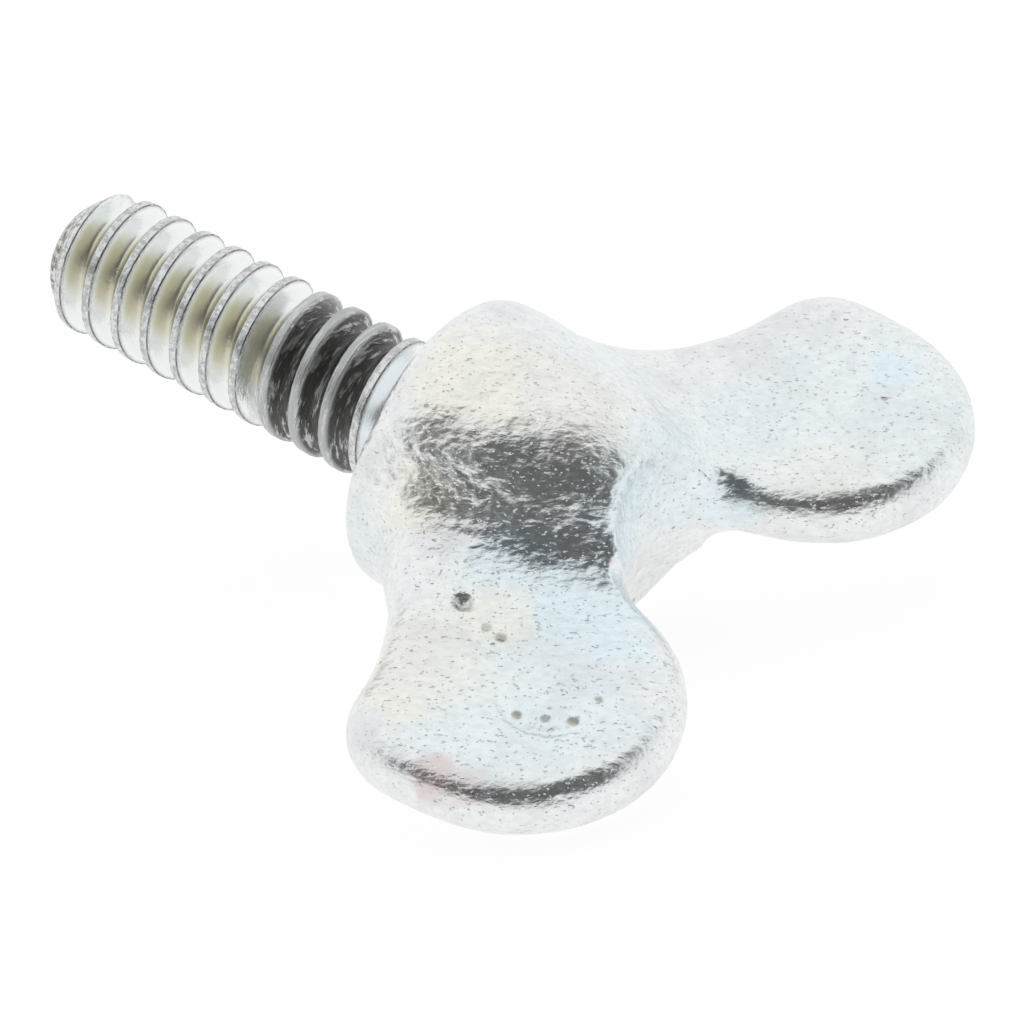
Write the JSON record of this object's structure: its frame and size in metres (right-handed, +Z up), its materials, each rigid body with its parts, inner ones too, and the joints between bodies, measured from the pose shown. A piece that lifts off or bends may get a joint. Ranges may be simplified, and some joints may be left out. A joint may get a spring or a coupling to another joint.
{
  "type": "wing screw",
  "caption": "One-piece wing screw: a short coarse-threaded shank under a barrel hub with two rounded wings, turned by thumb and finger to clamp a part by hand.",
  "frame": {"origin": "on the floor under the middle of the part, midway between the tip and the far edge of the ears, with the screw axis over it", "axes": "+Z up; the screw axis lies in the YZ plane with the threaded tip toward -Y and raised; the wings spread along X at the +Y end, rolled 10 degrees about the screw axis so that the +X ear touches the floor"},
  "size_m": [0.0232, 0.0256, 0.0093],
  "materials": {
    "zinc_plated_steel": "rough forged steel under pale zinc plating with faint blue and straw tints"
  },
  "bodies": {
    "root": {"wing_screw": "zinc_plated_steel"}
  },
  "joints": []
}
